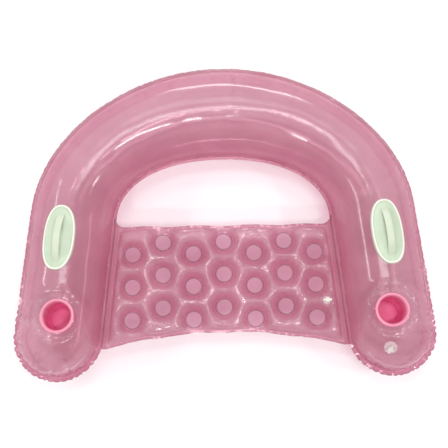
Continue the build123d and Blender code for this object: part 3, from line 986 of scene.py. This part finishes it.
# Name, place, target, width, height and power in watts
LIGHTS = [
    ("overhead_panel", (-0.1, 0.15, 3.0), (-0.1, 0.1, 0), 1.1, 0.40, 13),
    ("front_strip", (0.5, -0.9, 3.0), (0.2, -0.3, 0), 0.8, 0.08, 22),
    ("back_strip", (0.2, 2.9, 1.9), (0, 0.3, 0.2), 2.2, 0.14, 30),
    ("left_strip", (-2.6, 0.3, 2.2), (-0.4, 0, 0.2), 1.8, 0.14, 20),
    ("right_strip", (2.3, -0.7, 2.5), (0.2, -0.2, 0.1), 0.5, 0.12, 12),
    ("near_strip", (-0.9, -1.7, 2.6), (-0.1, -0.2, 0.1), 0.4, 0.12, 12),
    ("softbox", (0.1, 1.2, 3.1), (0, 0.2, 0), 1.6, 0.6, 9),
]


def camera():
    """The camera, where the photograph was taken from."""
    data = bpy.data.cameras.new("camera")
    data.lens = CAMERA_LENS
    data.sensor_width = SENSOR_WIDTH
    obj = bpy.data.objects.new("camera", data)
    obj.location = CAMERA_PLACE
    back = (CAMERA_PLACE - CAMERA_AIM).normalized()
    right = Vector((math.cos(CAMERA_ROLL), math.sin(CAMERA_ROLL), 0))
    up = back.cross(right).normalized()
    obj.rotation_euler = Matrix((up.cross(back), up, back)).transposed().to_euler()
    bpy.context.scene.collection.objects.link(obj)
    bpy.context.scene.camera = obj


def area_light(name, place, target, width, height, power):
    """A rectangular lamp that faces its target."""
    data = bpy.data.lights.new(name, "AREA")
    data.shape = "RECTANGLE"
    data.size = width
    data.size_y = height
    data.energy = power
    obj = bpy.data.objects.new(name, data)
    obj.location = place
    obj.rotation_euler = (Vector(target) - Vector(place)).to_track_quat("-Z", "Y").to_euler()
    bpy.context.scene.collection.objects.link(obj)


def studio():
    """White surroundings, the lights and a plain pale floor."""
    world = bpy.data.worlds.new("world")
    world.use_nodes = True
    world.node_tree.nodes["Background"].inputs["Color"].default_value = (1, 1, 1, 1)
    world.node_tree.nodes["Background"].inputs["Strength"].default_value = WORLD_STRENGTH
    bpy.context.scene.world = world
    bpy.context.scene.view_settings.view_transform = "Standard"
    for light in LIGHTS:
        area_light(*light)
    corners = ((-1, -1), (1, -1), (1, 1), (-1, 1))
    points = [(FLOOR_HALF * x, FLOOR_HALF * y, -FLOOR_DROP) for x, y in corners]
    floor = mesh_object("studio_floor", points, [(0, 1, 2, 3)])
    n = Nodes("studio_floor")
    matte = n.nodes.new("ShaderNodeBsdfPrincipled")
    n.set(matte.inputs["Base Color"], FLOOR_COLOR)
    n.set(matte.inputs["Roughness"], 0.9)
    paint(floor, n.finish(matte.outputs[0]))
    floor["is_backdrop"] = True


# ------------------------------------------------------------
# Assembly
# ------------------------------------------------------------

def place(piece, material, slot, *nodes):
    """A piece of the float takes its material and the place of its CAD nodes; the slot is not used."""
    paint(piece, material)
    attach(piece, "float")
    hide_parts(*nodes)


def build_films():
    """The soft films of the main chamber and the seat, and the seat's spot welds."""
    light, deep, body = (0.84, 0.675, 0.73), (0.785, 0.405, 0.545), (0.57, 0.33, 0.39)
    film = film_material("pink_film", light, deep, body, 0.16)
    weld = film_material("weld_film", (0.72, 0.46, 0.58), deep, body, 0.18, roughness=0.34, shine=0.35)
    top = main_film("main_top_film", 1, FINE)
    bottom = main_film("main_bottom_film", -1, UNDERSIDE_FINENESS * FINE)
    collars = [node for node in frame["nodes"] if node.endswith("_well_collar")]
    place(top, film, "pink_film", "main_top_sheet", *collars)
    place(bottom, film, "pink_film", "main_bottom_sheet")
    upper = seat_film("seat_top_film", 1)
    lower = seat_film("seat_bottom_film", -1)
    place(upper, film, "pink_film", "seat_top_sheet")
    place(lower, film, "pink_film", "seat_bottom_sheet")
    place(weld_discs("seat_welds"), weld, "weld_film", "seat_spot_welds")


def build_fittings():
    """The drink wells and hand grips of both arms."""
    # the cups' deep colour is painted shade, darker towards the well's floor
    cup = vinyl_material("cup_vinyl", (0.76, 0.25, 0.37), (0.84, 0.31, 0.43), 0.36,
                         ("deep", (0.82, 0.15, 0.34)))
    white = vinyl_material("handle_vinyl", (0.45, 0.54, 0.40), (0.51, 0.59, 0.46), 0.42,
                           ("lip", (0.78, 0.74, 0.67)))
    for side, sign in (("right", 1), ("left", -1)):
        place(well(f"{side}_well", sign), cup, "cup_vinyl",
              f"{side}_cup_rim", f"{side}_cup_wall", f"{side}_cup_floor")
        place(handle_base(f"{side}_base", sign), white, "handle_vinyl", f"{side}_handle_base")
        place(handle_grip(f"{side}_grip", sign), white, "handle_vinyl", f"{side}_handle_grip")


def paint_valves():
    """The valves are the CAD model's own pieces, in better materials."""
    milky = vinyl_material("valve_vinyl", (0.58, 0.53, 0.48), (0.70, 0.66, 0.60), 0.25)
    clear = film_material("clear_vinyl", (0.97, 0.93, 0.94), (0.86, 0.80, 0.82), (0.93, 0.86, 0.88), 0.30)
    looks = {"clear_vinyl": clear, "valve_vinyl": milky}
    for part in frame["record"]["subparts"]:
        if part["material_slot"] in looks:
            paint(frame["nodes"][part["node"]], looks[part["material_slot"]])


camera()
build_films()
build_fittings()
paint_valves()
studio()
visual_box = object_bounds()
[[list(corner) for corner in box] for box in (cad_box, visual_box)]
